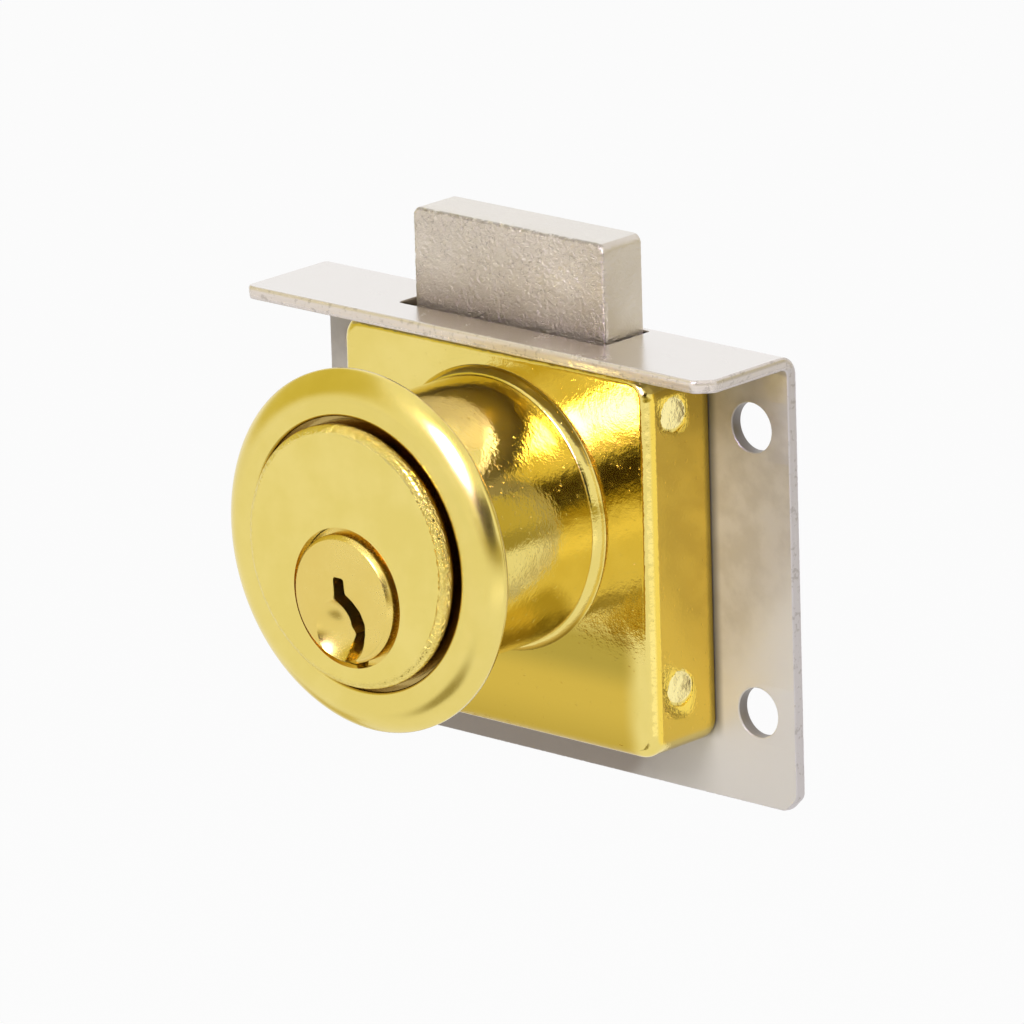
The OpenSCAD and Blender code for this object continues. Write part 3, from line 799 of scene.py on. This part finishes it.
# The flat sheet's outline, with the places in it of the bend's points on the left and on the right
def plateOutline(p, flat, curve, length):
    half, cut = p["width"] / 2, p["cut"]
    bend = np.linspace(flat, flat + curve, p["bendSteps"] + 1)
    below = np.linspace(flat + curve, length - cut, p["downSteps"] + 1)[1:]
    left, right = (np.concatenate([np.linspace(start, flat, p["flangeSteps"] + 1)[:-1], bend, below])
                   for start in (p["leftCut"], cut))
    steps = np.linspace(0, 1, p["cutSteps"] + 1)[1:-1]
    foot = np.linspace(-half + cut, half - cut, p["footPoints"])
    front = np.linspace(half - cut, -half + p["leftCut"], p["frontPoints"])
    outline = np.vstack([
        np.stack([-half + 0 * left, left], -1),
        np.stack([-half + cut * steps, length - cut * (1 - steps)], -1),
        np.stack([foot, length + 0 * foot], -1),
        np.stack([half - cut * (1 - steps), length - cut * steps], -1),
        np.stack([half + 0 * right, right[::-1]], -1),
        np.stack([half - cut * steps, cut * (1 - steps)], -1),
        np.stack([front, 0 * front], -1)])
    # corners rounded by averaging neighbours, away from the bend
    byBend = (outline[:, 1] > flat - 1) & (outline[:, 1] < flat + curve + 1)
    for _ in range(p["rounds"]):
        mean = (np.roll(outline, 1, 0) + 2 * outline + np.roll(outline, -1, 0)) / 4
        outline = np.where(byBend[:, None], outline, mean)
    rightEnd = len(left) + len(foot) + len(right) + 2 * len(steps) - 1
    leftAt = [p["flangeSteps"] + i for i in range(len(bend))]
    rightAt = [rightEnd - p["flangeSteps"] - i for i in range(len(bend))]
    return outline, leftAt, rightAt


# Loops of points through the sheet's thickness, joined by bands, and then its two faces
def plateMesh(p):
    outer, flat, curve = sheetLengths(p)
    length = flat + curve + p["top"] - outer - p["bottom"]
    points, faces, marks = [], [], []
    total = 0

    # each layer is the outline moved into the metal by its inset, at its depth. Returns the first and last
    def addLoops(outline, away, layers, isEdge):
        nonlocal total
        count, first = len(outline), total
        for depth, inset in layers:
            loop = outline + away * np.reshape(inset, (-1, 1))
            points.append(bent(loop[:, 0], loop[:, 1], depth + 0 * loop[:, 0], p))
            marked = p["marked"][0] < depth < p["marked"][1]
            marks.append(np.tile((marked and isEdge, marked and not isEdge), (count, 1)))
            total += count
        faces.extend(bands(len(layers), count, first))
        return list(range(first, first + count)), list(range(total - count, total))

    outline, leftAt, rightAt = plateOutline(p, flat, curve, length)
    wear = sum(np.abs(ripple(outline, wavelength, seed)) * size for size, wavelength, seed in p["wear"])
    low, high = p["smooth"]
    shear = [(depth, back + wear * (p["smoothShare"] if low < depth < high else 1.0))
             for depth, back in p["shear"]]
    # the sheet's outline runs clockwise, so its normals point into the metal
    sheet = addLoops(outline, outwards(outline), shear, True)

    # a circle of the radius about the place of x and z on the flat sheet
    def addHole(x, z, radius, layers, steps):
        circle = circleOf(steps)
        middle = (x, flat + curve + p["top"] - outer - z)
        return addLoops(middle + circle * radius, circle, layers, False)

    holes = [addHole(x, z, p["hole"], p["drilled"], p["holePoints"])
             for x in (-p["holeX"], p["holeX"]) for z in (p["holeZ"], -p["holeZ"])]
    holes += [addHole(x, z, lockSet["peg"] + p["rivetGap"], p["riveted"], p["pegPoints"])
              for x in lockSet["pegX"] for z in lockSet["pegZ"]]
    slot = roundedOutline(p["slotWidth"], p["slotDepth"], [p["slotCorner"]] * 4)
    slot = evenly(slot, p["slotPoints"]) + (0, p["reach"] - p["slotForward"])
    size, wavelength, seed = p["slotWear"]
    slotWear = np.abs(ripple(slot, wavelength, seed)) * size
    punched = [(depth, grow + slotWear * (depth < p["slotWornTo"])) for depth, grow in p["punched"]]
    slotLoops = addLoops(slot, outwards(slot), punched, False)

    # each face of the sheet: the flange, strips over the bend, and the upright part
    everything = np.vstack(points)
    for end in (0, 1):
        loop = sheet[end]
        for i in range(p["bendSteps"]):
            corners = leftAt[i], leftAt[i + 1], rightAt[i + 1], rightAt[i]
            faces.append([loop[corner] for corner in corners])
        flange = loop[rightAt[0]:] + loop[:leftAt[0] + 1]
        lower = loop[leftAt[-1]:rightAt[-1] + 1]
        for border, inside in ((flange, [slotLoops]), (lower, holes)):
            contours = [border] + [loops[end] for loops in inside]
            index = [i for contour in contours for i in contour]
            flatPoints = [[Vector(everything[i].tolist()) for i in contour] for contour in contours]
            faces += [tuple(index[v] for v in triangle) for triangle in tessellate_polygon(flatPoints)]
    marks = np.vstack(marks)
    return everything, faces, {"edge": marks[:, 0], "bore": marks[:, 1]}


markPlate(nickel, plateSet["marks"])
plate = makeMesh("mountingPlate", *plateMesh(plateSet))
finishPiece(plate, "fixed", nickel, ["mounting_plate"], 30)
weights = plate.modifiers.new("weights", "WEIGHTED_NORMAL")
weights.keep_sharp = True


# Bolt

boltSet = {
    "width": 23.2, "x": 0.4, "front": 6.2, "back": 1.1, "top": 29.6, "low": 16.0, "corner": 0.8,
    "lowCorner": 0.05, "columns": 700,
    "tailLow": -1.0, "tailTop": 18.4, "tailFront": 4.25, "tailBack": 0.15,
    "backEdge": [(0, 0.16), (0.05, 0.06), (0.16, 0)], "middle": 3.6,
    "frontEdge": [(0.34, 0), (0.2, 0.02), (0.1, 0.06), (0.03, 0.14), (0, 0.26)],
    # ripples of the edge: size, wavelength and seed
    "wear": [(0.05, 0.6, 41), (0.03, 1.9, 42)], "endRows": (0.02, 0.3),
    # the crank's slot
    "arm": 4.5, "pin": 1.65, "throw": 9.0, "step": 5, "capPoints": 10, "slotY": (1.0, -7.0),
    # the front is pebbled and cracked, with painted shade towards the flange; the top is tinted lighter,
    # painted light
    "marks": {
        "front": {"y": (-6.15, -6.02), "metallic": 0.6},
        "crack": {"scale": 1500, "width": (0.0, 0.03), "patches": 450, "patchRange": (0.38, 0.52),
                  "share": 0.5, "depth": 0.03, "tint": (0.22, 0.18, 0.14)},
        "pebble": {"scale": 2200, "elsewhere": 0.6, "rise": 0.2},
        # painted shade: darker towards the flange
        "foot": {"height": (20.4, 25.5), "share": 0.8, "tint": (0.25, 0.20, 0.16)},
        "rim": {"scale": 1800, "range": (0.42, 0.5), "height": (29.25, 29.4), "y": (-5.95, -5.8),
                "share": 0.4, "tint": (0.18, 0.14, 0.11)},
        # painted light: the top is lighter
        "upper": {"height": (29.52, 29.58), "tint": (0.80, 0.765, 0.72)},
    },
}


# Tints and bumps of the bolt: each is a product of ramps over the point's place and of noise
def markBolt(shader, marks):
    y, z = shader.axis(1), shader.axis(2)
    m = marks["front"]
    front = shader.fade(y, *m["y"])
    shader.put("Metallic", shader.ramp(front, 0, 1, 1.0, m["metallic"]))
    # painted light: the top is tinted lighter
    m = marks["upper"]
    shader.tint(shader.ramp(z, *m["height"]), m["tint"])
    # painted shade: the front darkens towards the flange
    m = marks["foot"]
    shader.tint(shader.fade(z, *m["height"]) * front * m["share"], m["tint"])
    # a crack runs where the noise crosses its middle
    m = marks["crack"]
    stroke = shader.math("ABSOLUTE", shader.noise(m["scale"], rough=0.5) - 0.5, 0)
    patchy = shader.ramp(shader.noise(m["patches"]), *m["patchRange"])
    crack = shader.fade(stroke, *m["width"]) * patchy * front
    shader.tint(crack * m["share"], m["tint"])
    m = marks["rim"]
    rim = shader.ramp(z, *m["height"]) * shader.fade(y, *m["y"])
    shader.tint(rim * shader.ramp(shader.noise(m["scale"]), *m["range"]) * m["share"], m["tint"])
    m = marks["pebble"]
    pebble = shader.noise(m["scale"], rough=0.65) * shader.ramp(front, 0, 1, m["elsewhere"], 1.0)
    shader.emboss(pebble, m["rise"])
    shader.emboss(crack, -marks["crack"]["depth"])


# The outline in layers from back to front, each set in by its edge's round, and by wear where it is round
def boltHead(s):
    height = s["top"] - s["low"]
    corners = [s["corner"], s["corner"], s["lowCorner"], s["lowCorner"]]
    outline = evenly(roundedOutline(s["width"], height, corners), s["columns"])
    outline = outline + (s["x"], s["low"] + height / 2)
    away = outwards(outline)
    rough = sum(size * np.abs(ripple(outline, wavelength, seed)) for size, wavelength, seed in s["wear"])
    layers = [(s["back"] + step, inset) for step, inset in s["backEdge"]] + [(s["middle"], 0)]
    layers += [(s["front"] - step, inset) for step, inset in s["frontEdge"]]
    grid = np.array([upright(outline - away * (inset + rough * (inset > 0.01))[:, None], -forward)
                     for forward, inset in layers])
    # rows on the flat ends, so that their shading stays flat
    back, front = ([(1 - share) * row + share * row.mean(0) for share in s["endRows"]]
                   for row in (grid[0], grid[-1]))
    return np.stack([*back[::-1], *grid, *front])


# The slot that the crank's pin runs in. The pin's path in the bolt is the arm's circle plus the throw
# times the turn's share of a half turn, and the slot is that path moved out by the pin's radius
def boltSlot(s):
    arm, radius, throw = s["arm"], s["pin"], s["throw"]
    turn = np.radians(np.arange(0, 181, s["step"]))
    path = np.stack([arm * np.sin(turn), arm * (np.cos(turn) - 1) + throw * turn / np.pi], -1)
    away = np.arctan2(throw / (np.pi * arm) - np.sin(turn), np.cos(turn)) + np.pi / 2
    cap = np.linspace(2 * np.pi - away[0], away[0], s["capPoints"])[1:-1]
    flat = np.vstack([path + radius * unit(away), radius * unit(cap)]) + (0, arm)
    return solid("tool", np.array([upright(flat, y) for y in s["slotY"]]))


# The head plus the tail, a plain block, less the slot
def makeBolt(s):
    bolt = solid("boltPiece", boltHead(s))
    left, right = s["x"] - s["width"] / 2, s["x"] + s["width"] / 2
    tail = block((left, -s["tailBack"], s["tailLow"]), (right, -s["tailFront"], s["tailTop"]))
    combine(bolt, tail, "UNION")
    combine(bolt, boltSlot(s))
    return bolt


markBolt(boltSteel, boltSet["marks"])
finishPiece(makeBolt(boltSet), "sliding", boltSteel, ["bolt"], 30)


# CAD nodes that keep their shape

keep = {"chamber_plugs": pinBrass, "crank": crankSteel, "crank_screw": crankSteel}
for number in range(1, 6):
    keep[f"key_pin_{number}"] = pinBrass
    keep[f"driver_pin_{number}"] = pinSteel
    keep[f"pin_spring_{number}"] = wireSteel
for name, shader in keep.items():
    nodes[name].data.materials.clear()
    nodes[name].data.materials.append(shader.owner)
print("CAD nodes kept:", len(keep))


# Floor, light and camera

stageSet = {"floor": -150.0, "half": 4000.0, "world": 0.28, "pale": 0.9, "whiteShare": 0.95}


# 1 for what the camera or a reflection sees, 0 for plain light: the sum of three kinds of ray, held
def seen(shader):
    path = shader.tree.nodes.new("ShaderNodeLightPath")
    kinds = "Is Camera Ray", "Is Glossy Ray", "Is Transmission Ray"
    rays = [Value(shader, path.outputs[kind]) for kind in kinds]
    return shader.ramp(rays[0] + rays[1] + rays[2], 0, 1)


# A stage mesh shows its own light by the share, and what is under that by the rest
def glow(shader, share, light, under):
    both = shader.node("ShaderNodeMixShader", {}, {0: share, 1: under, 2: light})
    shader.fill(shader.tree.nodes["Material Output"].inputs["Surface"], both)


# White where it is seen, and a weaker plain light
def makeWorld(s):
    world = Shader(scene.world or bpy.data.worlds.new("studio"))
    scene.world = world.owner
    back = world.tree.nodes["Background"]
    world.fill(back.inputs["Color"], colour(1, 1, 1))
    world.fill(back.inputs["Strength"], world.ramp(seen(world), 0, 1, s["world"], 1.0))


# A square floor, nearly white where it is seen, and pale to plain light
def makeFloor(s):
    mesh = bpy.data.meshes.new("floor")
    corners = np.array([(-1, -1, 0), (1, -1, 0), (1, 1, 0), (-1, 1, 0)]) * s["half"] + (0, 0, s["floor"])
    mesh.from_pydata((corners * mm).tolist(), [], [(0, 1, 2, 3)])
    shader = Shader(bpy.data.materials.new("floor"))
    pale = shader.node("ShaderNodeBsdfDiffuse", {}, {"Color": colour(*[s["pale"]] * 3)})
    white = shader.node("ShaderNodeEmission", {}, {"Color": colour(1, 1, 1), "Strength": 1.0})
    glow(shader, seen(shader) * s["whiteShare"], white, pale)
    mesh.materials.append(shader.owner)
    place("floor", mesh)


makeWorld(stageSet)
makeFloor(stageSet)


# Soft oval patches of a tent round the lock that only reflections see. Each has the azimuth and
# elevation of its middle, its half width and height, its softness, and its light
tentSet = {"radius": 200.0, "steps": (241, 121), "highest": 88, "patches": [
    (-68, 30, 45, 32, 0.3, (0.72, 0.64, 0.21)),
    (-95, -48, 24, 15, 0.4, (0.70, 0.61, 0.28)),
    (-15, -42, 18, 12, 0.4, (0.38, 0.34, 0.20)),
    (50, -17, 28, 5, 0.4, (1.25, 1.25, 1.3)),
    (50, 1, 42, 7, 0.4, (0.51, 0.44, 0.16)),
    (125, 12, 18, 20, 0.3, (0.60, 0.50, 0.16)),
    (126, -4, 12, 6, 0.4, (0.40, 0.34, 0.12)),
    (55, 22, 10, 7, 0.4, (0.25, 0.21, 0.10)),
    (39, 13, 17, 12, 0.3, (0.04, 0.03, 0.015)),
    (14, 30.5, 16, 13.5, 0.15, (5.0, 3.6, 10.0)),
    (16, 37.5, 12.5, 8.5, 0.3, (26, 25.5, 24)),
]}


# Light and cover at each point of the tent. A point lies on an oval's edge where the squares of its
# distances from the middle, over the half sizes, add up to 1. The share falls from 1 to 0 round there
def tentLight(t, turn, rise):
    shade, cover = np.ones(turn.shape + (3,)), np.zeros(turn.shape)
    for azimuth, elevation, wide, high, soft, light in t["patches"]:
        out = np.hypot((np.degrees(turn) - azimuth) / wide, (np.degrees(rise) - elevation) / high)
        share = smoothStep(0.5 + (1 - out) / (2 * soft))
        shade = shade * (1 - share[..., None]) + np.array(light) * share[..., None]
        cover = np.maximum(cover, share)
    return np.concatenate([shade, cover[..., None]], -1)


# A sphere by azimuth and elevation, clear where it has no patch
def makeTent(t):
    across, up = t["steps"]
    turn, rise = np.meshgrid(np.radians(np.linspace(-180, 180, across)),
                             np.radians(np.linspace(-t["highest"], t["highest"], up)))
    points = np.stack([np.sin(turn) * np.cos(rise), -np.cos(turn) * np.cos(rise), np.sin(rise)], -1)
    i, j = np.arange(up - 1)[:, None] * across, np.arange(across - 1)[None, :]
    faces = np.stack([i + j, i + j + 1, i + across + j + 1, i + across + j], -1).reshape(-1, 4)
    mesh = bpy.data.meshes.new("tent")
    mesh.from_pydata((points.reshape(-1, 3) * t["radius"] * mm).tolist(), [], faces.tolist())
    light = tentLight(t, turn, rise).astype(np.float32)
    mesh.attributes.new("light", "FLOAT_COLOR", "POINT").data.foreach_set("color", light.ravel())
    made = place("tent", mesh)
    shader = Shader(bpy.data.materials.new("tent"))
    patchLight = shader.attribute("light", "Color")
    emission = shader.node("ShaderNodeEmission", {}, {"Color": patchLight, "Strength": 1.0})
    clear = shader.node("ShaderNodeBsdfTransparent", {}, {})
    glow(shader, Value(shader, patchLight.socket.node.outputs["Alpha"]), emission, clear)
    mesh.materials.append(shader.owner)
    made.visible_camera = made.visible_diffuse = made.visible_shadow = False


makeTent(tentSet)


# The power is in watts
lampSet = {"place": (207, -679, 555), "size": 450, "power": 4.2}


# A square lamp that faces the origin and shows in no reflection
def makeLamp(s):
    light = bpy.data.lights.new("key", "AREA")
    light.size = s["size"] * mm
    light.energy = s["power"]
    made = place("key", light)
    made.location = Vector(s["place"]) * mm
    made.rotation_mode = "QUATERNION"
    made.rotation_quaternion = Vector(s["place"]).to_track_quat("Z", "Y")
    made.visible_glossy = False


makeLamp(lampSet)


# The camera's axes, and its place as a distance along the third axis from where the neck's axis meets
# the plate, less shifts along the other two
camSet = {
    "right": (0.73906, 0.67301, -0.02901), "up": (-0.16906, 0.22700, 0.95911),
    "towards": (0.65208, -0.70393, 0.28155), "distance": 958.5724, "shiftX": 4.18626, "shiftY": 2.28043,
    "lens": 371.53, "sensor": 36, "clip": (50, 20000),
}


# The camera's matrix is a move to its place, times the turn whose columns are its axes
def makeCamera(s):
    right, up, towards = (Vector(s[key]) for key in ("right", "up", "towards"))
    start = Vector((0, 0, lockSet["neckHeight"]))
    spot = -s["shiftX"] * right - s["shiftY"] * up + s["distance"] * towards + start
    camera = place("camera", bpy.data.cameras.new("camera"))
    turn = Matrix((right, up, towards)).transposed().to_4x4()
    camera.matrix_world = Matrix.Translation(spot * mm) @ turn
    camera.data.lens = s["lens"]
    camera.data.sensor_width = s["sensor"]
    camera.data.clip_start, camera.data.clip_end = (limit * mm for limit in s["clip"])
    scene.camera = camera


makeCamera(camSet)
print("camera and light set")
